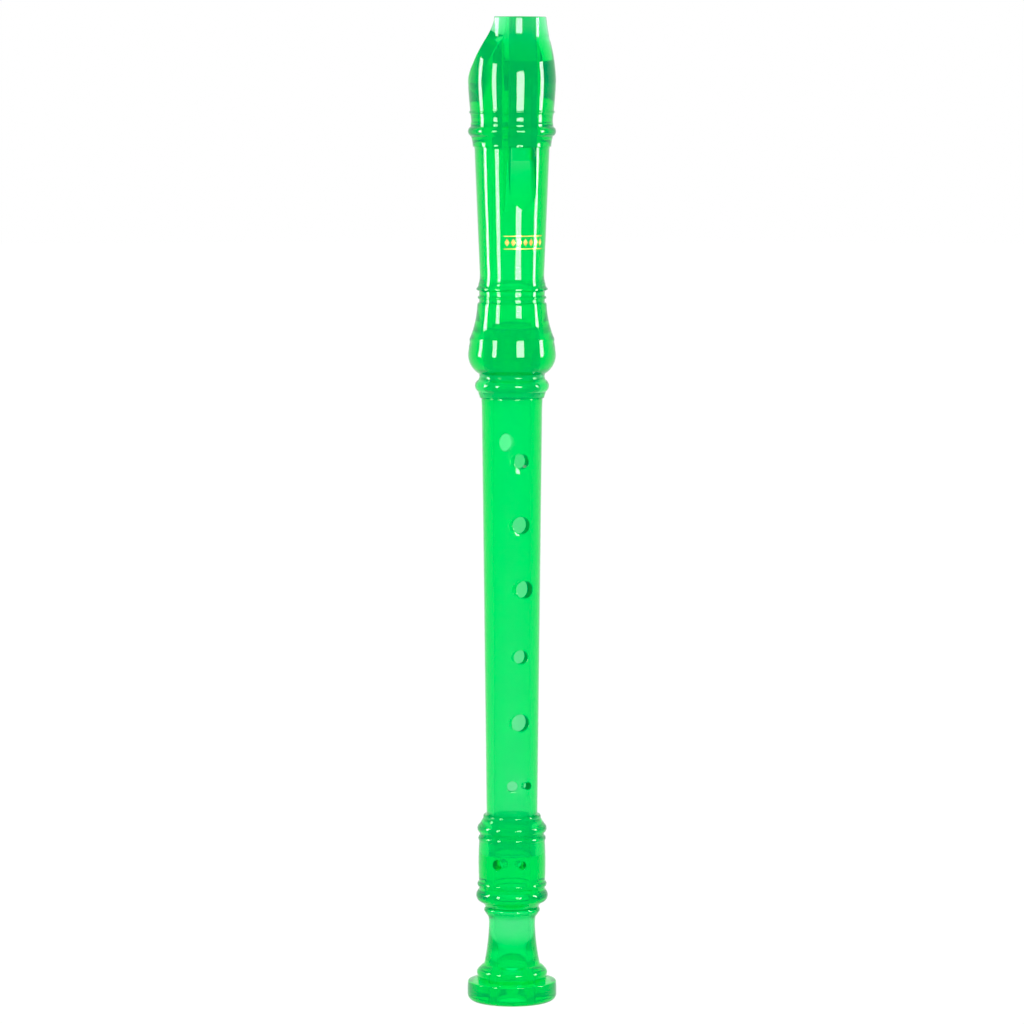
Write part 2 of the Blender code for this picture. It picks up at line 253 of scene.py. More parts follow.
# Camera: how it stands round the front, and its lens
CAMERA_TURN = radians(-19.5)
CAMERA_DISTANCE = 1.563
CAMERA_HEIGHT = 0.305
CAMERA_PITCH = radians(5.11)
CAMERA_LENS = 164.9
CAMERA_CLIP = (0.1, 50)

# Studio
FLOOR_RADIUS = 8.0
FLOOR_SEGMENTS = 96
SURFACE_BOUNCES = 24
GLOSSY_BOUNCES = 12
MIRRORED_ROOM = 0.85  # how bright the white room is in a reflection
RED_FLOOR = (0.055, 0.0, 0.0)  # the green is deeper than the display's, so its last red clips to nothing

# Strip softboxes: degrees round from the front, width, lowest and highest edge
SOFTBOX_DISTANCE = 0.6
SOFTBOX_RADIANCE = 11
POWER_SHARE = 4  # power of an area light for each unit of its radiance and area
SOFTBOXES = {
    "far_left_strip": (-111.5, 0.12, 0.16, 0.455),
    "left_strip": (-66.5, 0.12, 0.16, 0.453),
    "front_strip": (2.5, 0.20, 0.16, 0.403),
    "right_strip": (66.5, 0.12, 0.16, 0.438),
}


# --------------------------------------------------------------------------------------------------
# Outlines


def arc(start, end, bulge):
    """The points that lead from start to end along an arc or a straight line, without start itself."""
    chord = Vector(end) - Vector(start)
    length = chord.length
    along = chord / length
    outwards = Vector((-along.y, along.x))
    half_angle = 2 * atan2(2 * bulge, length)
    steps = max(ceil(sqrt(abs(bulge) / ARC_FLATNESS)), ceil(length / LONGEST_STEP))
    if bulge == 0:
        return [tuple(Vector(start) + chord * step / steps) for step in range(1, steps + 1)]
    radius = length / 2 / sin(half_angle)
    centre = (Vector(start) + Vector(end)) / 2 - outwards * radius * cos(half_angle)
    points = []
    for step in range(1, steps):
        angle = half_angle * (2 * step / steps - 1)
        points.append(tuple(centre + radius * (sin(angle) * along + cos(angle) * outwards)))
    return points + [tuple(end)]


def trace(outline):
    """The (radius, height) points of an outline of corners with bulges."""
    points = [outline[0][:2]]
    for first, second, bulge in outline[1:]:
        points += arc(points[-1], (first, second), bulge)
    return points


def radius_at(outline, height):
    """The radius of an outline at a height, read between its traced points."""
    points = trace(outline)
    for (upper_radius, upper), (lower_radius, lower) in zip(points, points[1:]):
        if lower <= height <= upper and lower < upper:
            return lower_radius + (upper_radius - lower_radius) * (height - lower) / (upper - lower)
    return points[0][0] if height > points[0][1] else points[-1][0]


def ribs(radius, top, bottom):
    """Corners of the fine gripping ribs that ring a tenon, from the top down."""
    root = radius - RIB_HEIGHT
    corners = [(root, top, 0)]
    for rib in range(int((top - bottom) / RIB_PITCH)):
        start = top - rib * RIB_PITCH
        corners.append((root, start - RIB_PITCH * RIB_GROOVE, 0))
        corners.append((root, start - RIB_PITCH, RIB_HEIGHT))
    return corners


# --------------------------------------------------------------------------------------------------
# Node trees


def place(tree, kind, inputs=None, **settings):
    """Adds a node. Inputs are given by name or number; a socket given as the value is linked."""
    node = tree.nodes.new(kind)
    for name, value in settings.items():
        setattr(node, name, value)
    for name, value in (inputs or {}).items():
        if isinstance(value, bpy.types.NodeSocket):
            tree.links.new(value, node.inputs[name])
        else:
            node.inputs[name].default_value = value
    return node


def maths(tree, operation, first, second=0.0):
    """The result of one sum."""
    return place(tree, "ShaderNodeMath", {0: first, 1: second}, operation=operation).outputs[0]


def open_tree(name, kind, inputs, outputs):
    """A node group with its sockets: {name: (socket type, default)} and {name: socket type}."""
    tree = bpy.data.node_groups.new(name, kind)
    for label, (socket_type, default) in inputs.items():
        socket = tree.interface.new_socket(label, in_out="INPUT", socket_type=socket_type)
        if default is not None:
            socket.default_value = default
    for label, socket_type in outputs.items():
        tree.interface.new_socket(label, in_out="OUTPUT", socket_type=socket_type)
    start = tree.nodes.new("NodeGroupInput")
    end = tree.nodes.new("NodeGroupOutput")
    return tree, start.outputs, end


def grown(name, mesh, tree, values):
    """The plain mesh that a geometry tree grows from a mesh, as a new object at the origin."""
    piece = bpy.data.objects.new(name, mesh)
    bpy.context.scene.collection.objects.link(piece)
    modifier = piece.modifiers.new(tree.name, "NODES")
    modifier.node_group = tree
    sockets = {item.name: item.identifier for item in tree.interface.items_tree if item.in_out == "INPUT"}
    for label, value in values.items():
        modifier[sockets[label]] = value
    graph = bpy.context.evaluated_depsgraph_get()
    result = bpy.data.meshes.new_from_object(piece.evaluated_get(graph), depsgraph=graph)
    piece.modifiers.remove(modifier)
    piece.data = result
    result.name = name
    return piece


def hand_over(tree, shape, finish, result):
    """Ends a geometry tree: its last node's shape as a real mesh with its finish."""
    real = place(tree, "GeometryNodeRealizeInstances", {"Geometry": shape.outputs[0]})
    finished = place(tree, "GeometryNodeSetMaterial", {"Geometry": real.outputs[0], "Material": finish})
    tree.links.new(finished.outputs[0], result)


def turning_tree():
    """Spins a closed outline of points in the XZ plane round Z into one closed skin."""
    tree, given, end = open_tree(
        "turned_joint",
        "GeometryNodeTree",
        {
            "Outline": ("NodeSocketGeometry", None),
            "Segments": ("NodeSocketInt", SEGMENTS),
            "Finish": ("NodeSocketMaterial", None),
        },
        {"Joint": "NodeSocketGeometry"},
    )
    count = place(tree, "GeometryNodeAttributeDomainSize", {0: given["Outline"]}).outputs["Point Count"]
    sheet = place(
        tree,
        "GeometryNodeMeshGrid",
        {
            "Size X": 1.0,
            "Size Y": 1.0,
            "Vertices X": maths(tree, "ADD", count, 1),
            "Vertices Y": maths(tree, "ADD", given["Segments"], 1),
        },
    )
    position = tree.nodes.new("GeometryNodeInputPosition").outputs[0]
    on_sheet = place(tree, "ShaderNodeSeparateXYZ", {0: position})
    along = maths(tree, "MULTIPLY", maths(tree, "ADD", on_sheet.outputs["X"], 0.5), count)
    row = maths(tree, "FLOORED_MODULO", maths(tree, "ROUND", along), count)
    turn = maths(tree, "MULTIPLY", maths(tree, "ADD", on_sheet.outputs["Y"], 0.5), 2 * pi)
    corner = place(
        tree,
        "GeometryNodeSampleIndex",
        {"Geometry": given["Outline"], "Value": position, "Index": row},
        data_type="FLOAT_VECTOR",
        domain="POINT",
    )
    outline_point = place(tree, "ShaderNodeSeparateXYZ", {0: corner.outputs["Value"]})
    radius = outline_point.outputs["X"]
    spun = place(
        tree,
        "ShaderNodeCombineXYZ",
        {
            "X": maths(tree, "MULTIPLY", radius, maths(tree, "COSINE", turn)),
            "Y": maths(tree, "MULTIPLY", radius, maths(tree, "SINE", turn)),
            "Z": outline_point.outputs["Z"],
        },
    )
    skin = place(
        tree, "GeometryNodeSetPosition", {"Geometry": sheet.outputs["Mesh"], "Position": spun.outputs[0]}
    )
    closed = place(tree, "GeometryNodeMergeByDistance", {"Geometry": skin.outputs[0], "Distance": SEAM})
    smooth = place(tree, "GeometryNodeSetShadeSmooth", {"Geometry": closed.outputs[0]})
    hand_over(tree, smooth, given["Finish"], end.inputs["Joint"])
    return tree


def foil_tree():
    """Lozenges in a row between two lines, wrapped round a cone that stands on Z, as thin closed plates."""
    tree, given, end = open_tree(
        "foil_ornament",
        "GeometryNodeTree",
        {
            "Start": ("NodeSocketGeometry", None),
            "Length": ("NodeSocketFloat", FOIL_LENGTH),
            "Width": ("NodeSocketFloat", FOIL_WIDTH),
            "Line": ("NodeSocketFloat", FOIL_LINE),
            "Lozenges": ("NodeSocketInt", FOIL_LOZENGES),
            "Height": ("NodeSocketFloat", FOIL_HEIGHT_ON_TUBE),
            "Turn": ("NodeSocketFloat", FOIL_TURN),
            "Radius": ("NodeSocketFloat", UPPER_SOCKET_RADIUS),
            "Taper": ("NodeSocketFloat", 0.0),
            "Thickness": ("NodeSocketFloat", FOIL_THICKNESS),
            "Finish": ("NodeSocketMaterial", None),
        },
        {"Foil": "NodeSocketGeometry"},
    )
    join = tree.nodes.new("GeometryNodeJoinGeometry")
    rail = place(
        tree,
        "GeometryNodeMeshGrid",
        {"Size X": given["Length"], "Size Y": given["Line"], "Vertices X": 64, "Vertices Y": 2},
    )
    for side in (1, -1):
        offset = maths(tree, "MULTIPLY", given["Width"], side / 2)
        shift = place(tree, "ShaderNodeCombineXYZ", {"Y": offset})
        moved = place(
            tree,
            "GeometryNodeTransform",
            {"Geometry": rail.outputs["Mesh"], "Translation": shift.outputs[0]},
        )
        tree.links.new(moved.outputs[0], join.inputs[0])
    spacing = maths(tree, "DIVIDE", given["Length"], given["Lozenges"])
    first = maths(tree, "MULTIPLY", maths(tree, "SUBTRACT", spacing, given["Length"]), 0.5)
    start = place(tree, "ShaderNodeCombineXYZ", {"X": first})
    step = place(tree, "ShaderNodeCombineXYZ", {"X": spacing})
    spots = place(
        tree,
        "GeometryNodeMeshLine",
        {"Count": given["Lozenges"], "Start Location": start.outputs[0], "Offset": step.outputs[0]},
    )
    tile = place(
        tree, "GeometryNodeMeshGrid", {"Size X": 1.0, "Size Y": 1.0, "Vertices X": 5, "Vertices Y": 5}
    )
    corner_up = place(
        tree, "GeometryNodeTransform", {"Geometry": tile.outputs["Mesh"], "Rotation": (0, 0, pi / 4)}
    )
    across = maths(tree, "MULTIPLY", spacing, LOZENGE_LENGTH)
    tall = maths(tree, "MULTIPLY", given["Width"], LOZENGE_WIDTH)
    size = place(tree, "ShaderNodeCombineXYZ", {"X": across, "Y": tall, "Z": 1.0})
    lozenge = place(
        tree, "GeometryNodeTransform", {"Geometry": corner_up.outputs[0], "Scale": size.outputs[0]}
    )
    row = place(
        tree,
        "GeometryNodeInstanceOnPoints",
        {"Points": spots.outputs["Mesh"], "Instance": lozenge.outputs[0]},
    )
    tree.links.new(row.outputs[0], join.inputs[0])
    flat = place(tree, "GeometryNodeRealizeInstances", {"Geometry": join.outputs[0]})
    here = place(tree, "ShaderNodeSeparateXYZ", {0: tree.nodes.new("GeometryNodeInputPosition").outputs[0]})
    turn = maths(tree, "ADD", maths(tree, "DIVIDE", here.outputs["X"], given["Radius"]), given["Turn"])
    widened = maths(tree, "MULTIPLY", here.outputs["Y"], given["Taper"])
    radius = maths(tree, "ADD", given["Radius"], widened)
    forwards = maths(tree, "MULTIPLY", maths(tree, "COSINE", turn), -1.0)
    wrapped = place(
        tree,
        "ShaderNodeCombineXYZ",
        {
            "X": maths(tree, "MULTIPLY", radius, maths(tree, "SINE", turn)),
            "Y": maths(tree, "MULTIPLY", radius, forwards),
            "Z": maths(tree, "ADD", here.outputs["Y"], given["Height"]),
        },
    )
    bent = place(
        tree, "GeometryNodeSetPosition", {"Geometry": flat.outputs[0], "Position": wrapped.outputs[0]}
    )
    raised = place(
        tree,
        "GeometryNodeExtrudeMesh",
        {"Mesh": bent.outputs[0], "Offset Scale": given["Thickness"], "Individual": False},
    )
    under = place(tree, "GeometryNodeFlipFaces", {0: bent.outputs[0]})
    both = tree.nodes.new("GeometryNodeJoinGeometry")
    tree.links.new(raised.outputs["Mesh"], both.inputs[0])
    tree.links.new(under.outputs[0], both.inputs[0])
    closed = place(tree, "GeometryNodeMergeByDistance", {"Geometry": both.outputs[0], "Distance": SEAM})
    hand_over(tree, closed, given["Finish"], end.inputs["Foil"])
    return tree


# --------------------------------------------------------------------------------------------------
# Finishes


def moulded_surface():
    """Shader group: a moulding's long draw marks and shallow sinks as relief, and its rubbed patches."""
    tree, given, end = open_tree(
        "moulded_surface",
        "ShaderNodeTree",
        {
            "Draw Marks": ("NodeSocketFloat", 1.0),
            "Sinks": ("NodeSocketFloat", 0.5),
            "Polish": ("NodeSocketFloat", 0.04),
            "Rubbed": ("NodeSocketFloat", 0.10),
        },
        {"Relief": "NodeSocketFloat", "Roughness": "NodeSocketFloat"},
    )
    here = place(tree, "ShaderNodeTexCoord").outputs["Object"]
    drawn = place(tree, "ShaderNodeMapping", {"Vector": here, "Scale": DRAW_MARKS_PER_METRE})
    marks = place(tree, "ShaderNodeTexNoise", {"Vector": drawn.outputs[0], "Scale": 1.0, "Detail": 2.0})
    sinks = place(tree, "ShaderNodeTexNoise", {"Vector": here, "Scale": 160.0, "Detail": 1.0})
    marked = maths(tree, "MULTIPLY", marks.outputs[0], given["Draw Marks"])
    sunk = maths(tree, "MULTIPLY", sinks.outputs[0], given["Sinks"])
    relief = maths(tree, "ADD", marked, sunk)
    patches = place(tree, "ShaderNodeTexNoise", {"Vector": here, "Scale": 45.0, "Detail": 4.0})
    worn = place(
        tree,
        "ShaderNodeMapRange",
        {
            "Value": patches.outputs[0],
            "From Min": 0.50,
            "From Max": 0.72,
            "To Min": given["Polish"],
            "To Max": given["Rubbed"],
        },
        interpolation_type="SMOOTHSTEP",
    )
    tree.links.new(relief, end.inputs["Relief"])
    tree.links.new(worn.outputs[0], end.inputs["Roughness"])
    return tree


def blank_material(name):
    """A new material with its node tree and its Principled shader."""
    material = bpy.data.materials.new(name)
    material.use_nodes = True
    tree = material.node_tree
    return material, tree, tree.nodes["Principled BSDF"]


def clear_green(name, surface, milkiness, milk_colour):
    """Clear green plastic with some milk in it: glossy, and deeper where more of it is looked through."""
    material, tree, glass = blank_material(name)
    output = tree.nodes["Material Output"]
    skin = place(tree, "ShaderNodeGroup", node_tree=surface)
    relief = place(
        tree,
        "ShaderNodeBump",
        {"Height": skin.outputs["Relief"], "Strength": 0.35, "Distance": RELIEF_HEIGHT},
    )
    glass.inputs["Base Color"].default_value = (1, 1, 1, 1)
    glass.inputs["Transmission Weight"].default_value = 1.0
    milk = place(tree, "ShaderNodeBsdfPrincipled", {"Base Color": (*milk_colour, 1)})
    for shader in (glass, milk):
        tree.links.new(skin.outputs["Roughness"], shader.inputs["Roughness"])
        tree.links.new(relief.outputs["Normal"], shader.inputs["Normal"])
        shader.inputs["IOR"].default_value = PLASTIC_IOR
    milky = place(tree, "ShaderNodeMixShader", {0: milkiness, 1: glass.outputs[0], 2: milk.outputs[0]})
    depth = place(
        tree, "ShaderNodeVolumeAbsorption", {"Color": (*DEPTH_COLOUR, 1), "Density": DEPTH_DENSITY}
    )
    tree.links.new(milky.outputs[0], output.inputs["Surface"])
    tree.links.new(depth.outputs[0], output.inputs["Volume"])
    material.diffuse_color = PREVIEW_GREEN
    return material


def gold_foil(surface):
    """Hot-stamped foil: bright metal that is scuffed and thin in places."""
    material, tree, shader = blank_material("gold_foil")
    skin = place(tree, "ShaderNodeGroup", {"Polish": 0.18, "Rubbed": 0.45}, node_tree=surface)
    here = place(tree, "ShaderNodeTexCoord").outputs["Object"]
    tarnish = place(tree, "ShaderNodeTexNoise", {"Vector": here, "Scale": 700.0, "Detail": 3.0})
    tone = place(tree, "ShaderNodeValToRGB", {"Fac": tarnish.outputs[0]})
    tone.color_ramp.elements[0].position = 0.35
    tone.color_ramp.elements[0].color = (*DARK_GOLD, 1)
    tone.color_ramp.elements[1].position = 0.62
    tone.color_ramp.elements[1].color = (*BRIGHT_GOLD, 1)
    relief = place(
        tree,
        "ShaderNodeBump",
        {"Height": skin.outputs["Relief"], "Strength": 0.5, "Distance": RELIEF_HEIGHT},
    )
    tree.links.new(tone.outputs[0], shader.inputs["Base Color"])
    tree.links.new(skin.outputs["Roughness"], shader.inputs["Roughness"])
    tree.links.new(relief.outputs["Normal"], shader.inputs["Normal"])
    shader.inputs["Metallic"].default_value = 0.6
    return material


def room_light(tree):
    """White for what is seen directly or through the plastic, and dimmer for what its gloss mirrors."""
    path = tree.nodes.new("ShaderNodeLightPath")
    outside = maths(tree, "SUBTRACT", 1.0, path.outputs["Is Transmission Ray"])
    mirrored = maths(tree, "MULTIPLY", path.outputs["Is Glossy Ray"], outside)
    level = place(tree, "ShaderNodeMapRange", {"Value": mirrored, "To Min": 1.0, "To Max": MIRRORED_ROOM})
    return level.outputs[0]


def pale_floor():
    """Back-lit white card with a faint tooth, as bright as the room round it."""
    material, tree, shader = blank_material("pale_floor")
    here = place(tree, "ShaderNodeTexCoord").outputs["Object"]
    tooth = place(tree, "ShaderNodeTexNoise", {"Vector": here, "Scale": 900.0, "Detail": 2.0})
    relief = place(tree, "ShaderNodeBump", {"Height": tooth.outputs[0], "Strength": 0.1, "Distance": 0.0002})
    tree.links.new(relief.outputs["Normal"], shader.inputs["Normal"])
    tree.links.new(room_light(tree), shader.inputs["Emission Strength"])
    shader.inputs["Emission Color"].default_value = (1, 1, 1, 1)
    shader.inputs["Base Color"].default_value = (0.02, 0.02, 0.02, 1)
    shader.inputs["Specular IOR Level"].default_value = 0.0
    shader.inputs["Roughness"].default_value = 0.9
    return material


# --------------------------------------------------------------------------------------------------
# Pieces


def turned(name, outline, bore, tree, finish):
    """A hollow turned piece: its outline and its bore, both from the top down."""
    loop = trace(outline) + list(reversed(trace(bore)))
    mesh = bpy.data.meshes.new(name)
    mesh.from_pydata([(radius, 0, height) for radius, height in loop], [], [])
    return grown(name, mesh, tree, {"Segments": SEGMENTS, "Finish": finish})


def solid(name, rings):
    """A closed solid lofted through rings of as many points each, capped at both ends."""
    body = bmesh.new()
    grid = [[body.verts.new(point) for point in ring] for ring in rings]
    for lower, upper in zip(grid, grid[1:]):
        for i in range(len(lower)):
            j = (i + 1) % len(lower)
            body.faces.new((lower[i], lower[j], upper[j], upper[i]))
    body.faces.new(list(reversed(grid[0])))
    body.faces.new(grid[-1])
    bmesh.ops.recalc_face_normals(body, faces=body.faces)
    mesh = bpy.data.meshes.new(name)
    body.to_mesh(mesh)
    body.free()
    piece = bpy.data.objects.new(name, mesh)
    bpy.context.scene.collection.objects.link(piece)
    return piece


def slab(name, outline, width):
    """A flat shape of (Y, Z) corners, made width thick along X and centred on X = 0."""
    return solid(name, [[(side * width / 2, y, z) for y, z in outline] for side in (-1, 1)])


def carve(piece, tools, operation="DIFFERENCE"):
    """Cuts tools from a piece, or joins them to it, and throws them away."""
    for tool in tools:
        modifier = piece.modifiers.new(tool.name, "BOOLEAN")
        modifier.object = tool
        modifier.operation = operation
        modifier.solver = "EXACT"
    bpy.context.view_layer.update()
    graph = bpy.context.evaluated_depsgraph_get()
    mesh = bpy.data.meshes.new_from_object(piece.evaluated_get(graph))
    piece.modifiers.clear()
    piece.data = mesh
    for tool in tools:
        bpy.data.objects.remove(tool)
    return piece


def hole_tool(name, outline, height, diameter, degrees):
    """A drill for one finger hole, flared at the outer surface so that the rim comes out rounded."""
    radius = diameter / 2
    turn = Matrix.Rotation(radians(degrees), 4, "Z")
    profile = [(radius, None)]
    for step in range(RIM_STEPS + 1):
        angle = RIM_SWEEP * step / RIM_STEPS
        profile.append((radius + RIM_RADIUS * (1 - cos(angle)), RIM_RADIUS * (sin(angle) - 1)))
    reach, over = profile[-1]
    profile.append((reach + RIM_RUN_OUT * sin(RIM_SWEEP), over + RIM_RUN_OUT * cos(RIM_SWEEP)))
    profile.append((profile[-1][0], CUT_ABOVE))
    rings = []
    for reach, over in profile:
        ring = []
        for i in range(HOLE_SEGMENTS):
            angle = 2 * pi * i / HOLE_SEGMENTS
            across, up = reach * sin(angle), reach * cos(angle)
            if over is None:
                depth = CUT_INSIDE
            else:
                depth = sqrt(radius_at(outline, height + up) ** 2 - across**2) + over
            ring.append(turn @ Vector((across, -depth, height + up)))
        rings.append(ring)
    return solid(name, rings)


def hole_tools(outline, holes):
    """The drills for a whole set of finger holes."""
    return [hole_tool(name + "_drill", outline, *sizes) for name, sizes in holes.items()]


def beak_tool():
    """The hollow curve that thins the beak from behind and rounds its side edges."""
    clear, far, behind = 0.0140, 0.0400, 0.0600
    edge = BEAK_EDGE_RADIUS
    shortest, longest = BEAK_EDGE_SWEEP
    rings = []
    for cut, height in trace(BEAK_CUT_LINE):
        outside = radius_at(HEAD_OUTLINE[1:], height)
        centre_y = cut - edge
        centre_x = sqrt(max(NARROWEST_BEAK_CUT**2, (outside - edge) ** 2 - centre_y**2))
        sweep = min(longest, max(shortest, atan2(centre_x, centre_y)))
        half = []
        for step in range(EDGE_STEPS + 1):
            angle = sweep * step / EDGE_STEPS
            half.append((centre_x + edge * sin(angle), centre_y + edge * cos(angle)))
        x, y = half[-1]
        half.append((x + clear * cos(sweep), y - clear * sin(sweep)))
        half.append((far, half[-1][1]))
        half.append((far, behind))
        rings.append([(-x, y, height) for x, y in reversed(half)] + [(x, y, height) for x, y in half])
    return solid("beak_cut", rings)


def mouth_tool():
    """Window, ramp and the hollow under the labium, as one outline that leaves the labium's wedge."""
    window_bottom = WINDOW_TOP - WINDOW_HEIGHT
    ramp_end = window_bottom - RAMP_REACH
    inner_edge = LABIUM_EDGE - LABIUM_THICKNESS
    underside_reach = (inner_edge - MEETS_BORE) / UNDERSIDE_RISE
    outline = [
        (-CUT_OUTSIDE, WINDOW_TOP),
        (-CUT_INSIDE, WINDOW_TOP),
        (-CUT_INSIDE, window_bottom - underside_reach),
        (-MEETS_BORE, window_bottom - underside_reach),
        (-inner_edge, window_bottom),
        (-LABIUM_EDGE, window_bottom),
        (-LABIUM_EDGE - RAMP_RISE * RAMP_REACH, ramp_end),
        (-CUT_OUTSIDE, ramp_end),
    ]
    return slab("mouth_cut", outline, WINDWAY_WIDTH)


def windway_tool():
    """The slot in the head that the block's rib stands in, open to the bore below it."""
    below, above = 0.0010, 0.0020
    outline = [
        (-WINDWAY_ROOF_AT_TIP, LENGTH + above),
        (-WINDWAY_ROOF_AT_TIP, LENGTH),
        (-WINDWAY_ROOF_AT_WINDOW, WINDOW_TOP - below),
        (-CUT_INSIDE, WINDOW_TOP - below),
        (-CUT_INSIDE, LENGTH + above),
    ]
    return slab("windway_cut", outline, WINDWAY_WIDTH)


def head_shell(tree, finish):
    """The head: beak, windway, window with its ramp, turned rings, bulb and the socket below."""
    socket_end = middle_high.z + SOCKET_SLACK
    bore = [
        (HEAD_BORE, LENGTH, 0),
        (HEAD_BORE, socket_end, 0),
        (UPPER_SOCKET_RADIUS, socket_end, 0),
        (UPPER_SOCKET_RADIUS, HEAD_BOTTOM + LEAD_IN, 0),
        (UPPER_SOCKET_RADIUS + LEAD_IN, HEAD_BOTTOM, 0),
    ]
    head = turned("clear_head", HEAD_OUTLINE, bore, tree, finish)
    return carve(head, [windway_tool(), mouth_tool(), beak_tool()])


def block():
    """The plug that fills the top of the bore, with the rib whose flat top is the windway's floor."""
    radius = HEAD_BORE - AIR
    ends = [
        (radius - BLOCK_CHAMFER, WINDOW_TOP),
        (radius, WINDOW_TOP + BLOCK_CHAMFER),
        (radius, LENGTH),
    ]
    turns = [2 * pi * i / SEGMENTS for i in range(SEGMENTS)]
    rings = [[(reach * cos(turn), reach * sin(turn), height) for turn in turns] for reach, height in ends]
    plug = solid("windway_block", rings)
    outline = [
        (-WINDWAY_FLOOR_AT_TIP, LENGTH),
        (-WINDWAY_FLOOR_AT_WINDOW, WINDOW_TOP + BLOCK_CHAMFER),
        (-WINDWAY_FLOOR_AT_WINDOW + BLOCK_CHAMFER, WINDOW_TOP),
        (-BLOCK_RIB_ROOT, WINDOW_TOP),
        (-BLOCK_RIB_ROOT, LENGTH),
    ]
    carve(plug, [slab("block_rib", outline, WINDWAY_WIDTH - 2 * AIR)], "UNION")
    return carve(plug, [beak_tool()])


def scoop_tool():
    """The wide drum that presses the moulded scoop round the double sixth hole."""
    centre = -radius_at(MIDDLE_OUTLINE, SCOOP_HEIGHT) - SCOOP_RADIUS + SCOOP_DEPTH
    outline = []
    for step in range(SCOOP_SEGMENTS):
        angle = 2 * pi * step / SCOOP_SEGMENTS
        outline.append((centre + SCOOP_RADIUS * cos(angle), SCOOP_HEIGHT + SCOOP_RADIUS * sin(angle)))
    return slab("scoop", outline, SCOOP_WIDTH)


def middle_joint(tree, finish):
    """The middle: a tapered tube with the finger holes, and a ribbed tenon at each end."""
    upper = UPPER_SOCKET_RADIUS - AIR
    lower = LOWER_SOCKET_RADIUS - AIR
    outline = [
        (upper - RIB_HEIGHT - TENON_CHAMFER, middle_high.z, 0),
        (upper - RIB_HEIGHT, middle_high.z - TENON_CHAMFER, 0),
        *ribs(upper, middle_high.z - PLAIN_END, HEAD_BOTTOM + PLAIN_END),
        (upper - RIB_HEIGHT, HEAD_BOTTOM - SHOULDER_GAP, 0),
        *MIDDLE_OUTLINE,
        (lower - RIB_HEIGHT, FOOT_TOP + SHOULDER_GAP, 0),
        *ribs(lower, FOOT_TOP - PLAIN_END, middle_low.z + PLAIN_END),
        (lower - RIB_HEIGHT, middle_low.z + TENON_CHAMFER, 0),
        (lower - RIB_HEIGHT - TENON_CHAMFER, middle_low.z, 0),
    ]
    bore = [(MIDDLE_BORE_TOP, middle_high.z, 0), (MIDDLE_BORE_BOTTOM, middle_low.z, 0)]
    middle = turned("clear_middle", outline, bore, tree, finish)
    carve(middle, [scoop_tool()])
    return carve(middle, hole_tools(MIDDLE_OUTLINE, MIDDLE_HOLES))


def foot_joint(tree, finish):
    """The foot: socket, barrel with the little-finger holes, turned rings and bell."""
    socket_end = middle_low.z - SOCKET_SLACK
    step_top, step_bottom = FOOT_BORE_STEP
    bore = [
        (LOWER_SOCKET_RADIUS + LEAD_IN, FOOT_TOP, 0),
        (LOWER_SOCKET_RADIUS, FOOT_TOP - LEAD_IN, 0),
        (LOWER_SOCKET_RADIUS, socket_end, 0),
        (FOOT_BORE_TOP, socket_end, 0),
        (FOOT_BORE_TOP, step_top, 0),
        (FOOT_BORE_BOTTOM, step_bottom, 0),
        (FOOT_BORE_BOTTOM, 0, 0),
    ]
    foot = turned("clear_foot", FOOT_OUTLINE, bore, tree, finish)
    return carve(foot, hole_tools(FOOT_OUTLINE, FOOT_HOLES))


def foil_ornament(finish):
    """The ornament on the head's tube, wrapped round the cone that the tube is there."""
    step = 0.0010
    above = radius_at(HEAD_OUTLINE, FOIL_HEIGHT_ON_TUBE + step)
    below = radius_at(HEAD_OUTLINE, FOIL_HEIGHT_ON_TUBE - step)
    values = {
        "Length": FOIL_LENGTH,
        "Width": FOIL_WIDTH,
        "Line": FOIL_LINE,
        "Lozenges": FOIL_LOZENGES,
        "Height": FOIL_HEIGHT_ON_TUBE,
        "Turn": FOIL_TURN,
        "Radius": (above + below) / 2 + FOIL_LIFT,
        "Taper": (above - below) / (2 * step),
        "Thickness": FOIL_THICKNESS,
        "Finish": finish,
    }
    return grown("foil_ornament", bpy.data.meshes.new("foil_start"), foil_tree(), values)


def finish_skin(piece, finish):
    """One finish all over, rounded shading where the form is round, and crisp flats and edges."""
    piece.data.materials.clear()
    piece.data.materials.append(finish)
    piece.data.polygons.foreach_set("material_index", [0] * len(piece.data.polygons))
    piece.data.shade_smooth()
    piece.data.set_sharp_from_angle(angle=SHARP_EDGE)
    for face in piece.data.polygons:
        if face.normal.y < FACES_FRONT and face.area > LARGEST_ROUNDED_FACE:
            face.use_smooth = False


# --------------------------------------------------------------------------------------------------
# Studio


def round_position(turn, distance, height):
    """A point at a distance from the bore's axis, turned from the front towards +X."""
    return Vector((sin(turn) * distance, -cos(turn) * distance, height))


def camera():
    """The product camera: far off, level with the head, and looking down a little."""
    data = bpy.data.cameras.new("camera")
    data.lens = CAMERA_LENS
    data.clip_start, data.clip_end = CAMERA_CLIP
    seat = bpy.data.objects.new("camera", data)
    seat.location = round_position(CAMERA_TURN, CAMERA_DISTANCE, CAMERA_HEIGHT)
    seat.rotation_euler = (pi / 2 - CAMERA_PITCH, 0, CAMERA_TURN)
    bpy.context.scene.collection.objects.link(seat)
    bpy.context.scene.camera = seat


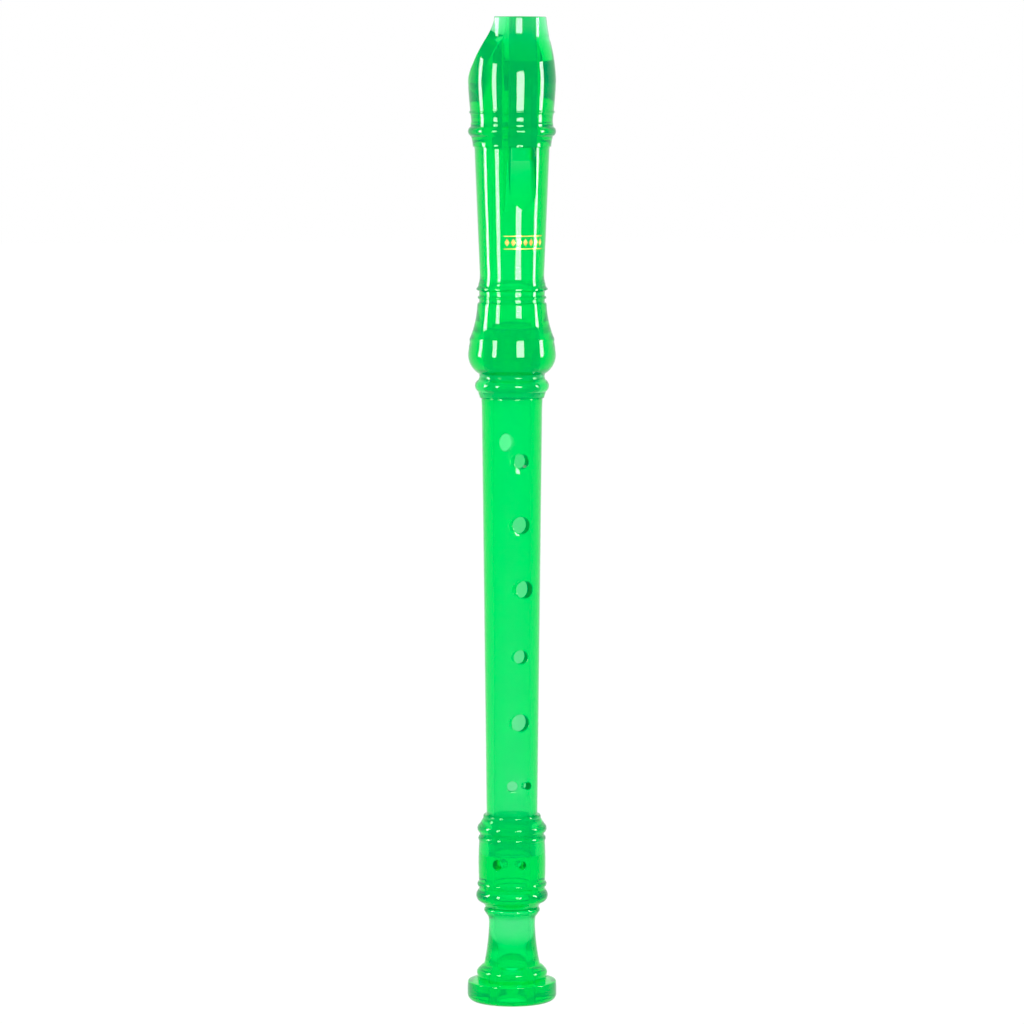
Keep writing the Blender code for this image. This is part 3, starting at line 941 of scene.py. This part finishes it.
def softbox(name, degrees, width, low, high):
    """A tall strip light that faces the bore's axis."""
    data = bpy.data.lights.new(name, "AREA")
    data.shape = "RECTANGLE"
    data.size = width
    data.size_y = high - low
    data.energy = POWER_SHARE * SOFTBOX_RADIANCE * data.size * data.size_y
    lamp = bpy.data.objects.new(name, data)
    lamp.location = round_position(radians(degrees), SOFTBOX_DISTANCE, (low + high) / 2)
    lamp.rotation_euler = (pi / 2, 0, radians(degrees))
    lamp.visible_transmission = False  # it shows in the gloss alone
    bpy.context.scene.collection.objects.link(lamp)


def white_room():
    """The even white that stands round the recorder."""
    world = bpy.data.worlds.new("white_room")
    world.use_nodes = True
    bpy.context.scene.world = world
    tree = world.node_tree
    background = tree.nodes["Background"]
    background.inputs["Color"].default_value = (1, 1, 1, 1)
    tree.links.new(room_light(tree), background.inputs["Strength"])


def floor():
    """The card that the bell stands on."""
    body = bmesh.new()
    bmesh.ops.create_circle(body, cap_ends=True, segments=FLOOR_SEGMENTS, radius=FLOOR_RADIUS)
    mesh = bpy.data.meshes.new("floor")
    body.to_mesh(mesh)
    body.free()
    ground = bpy.data.objects.new("floor", mesh)
    bpy.context.scene.collection.objects.link(ground)
    mesh.materials.append(pale_floor())


def studio():
    """Camera, white room, floor and strip lights."""
    camera()
    white_room()
    floor()
    for name, sizes in SOFTBOXES.items():
        softbox(name, *sizes)
    scene = bpy.context.scene
    scene.view_settings.view_transform = "Standard"
    scene.view_settings.use_curve_mapping = True
    scene.view_settings.curve_mapping.black_level = RED_FLOOR
    scene.view_settings.curve_mapping.update()
    scene.cycles.max_bounces = SURFACE_BOUNCES
    scene.cycles.transmission_bounces = SURFACE_BOUNCES
    scene.cycles.glossy_bounces = GLOSSY_BOUNCES


# --------------------------------------------------------------------------------------------------
# Assembly


def build():
    """Makes the five visible pieces, each on its own body, and gives them their finishes."""
    surface = moulded_surface()
    tree = turning_tree()
    finishes = {
        name: clear_green(name, surface, *SHELL_MILK)
        for name in ("head_plastic", "middle_plastic", "foot_plastic")
    }
    finishes["block_plastic"] = clear_green("block_plastic", surface, *BLOCK_MILK)
    pieces = [
        (head_shell(tree, finishes["head_plastic"]), "head", "head_shell", "head_plastic"),
        (block(), "head", "block", "block_plastic"),
        (middle_joint(tree, finishes["middle_plastic"]), "middle", "middle_joint", "middle_plastic"),
        (foot_joint(tree, finishes["foot_plastic"]), "foot", "foot_joint", "foot_plastic"),
    ]
    for piece, body, node, slot in pieces:
        finish_skin(piece, finishes[slot])
        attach(piece, body)
        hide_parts(node)
    foil = foil_ornament(gold_foil(surface))
    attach(foil, "head")


build()
studio()
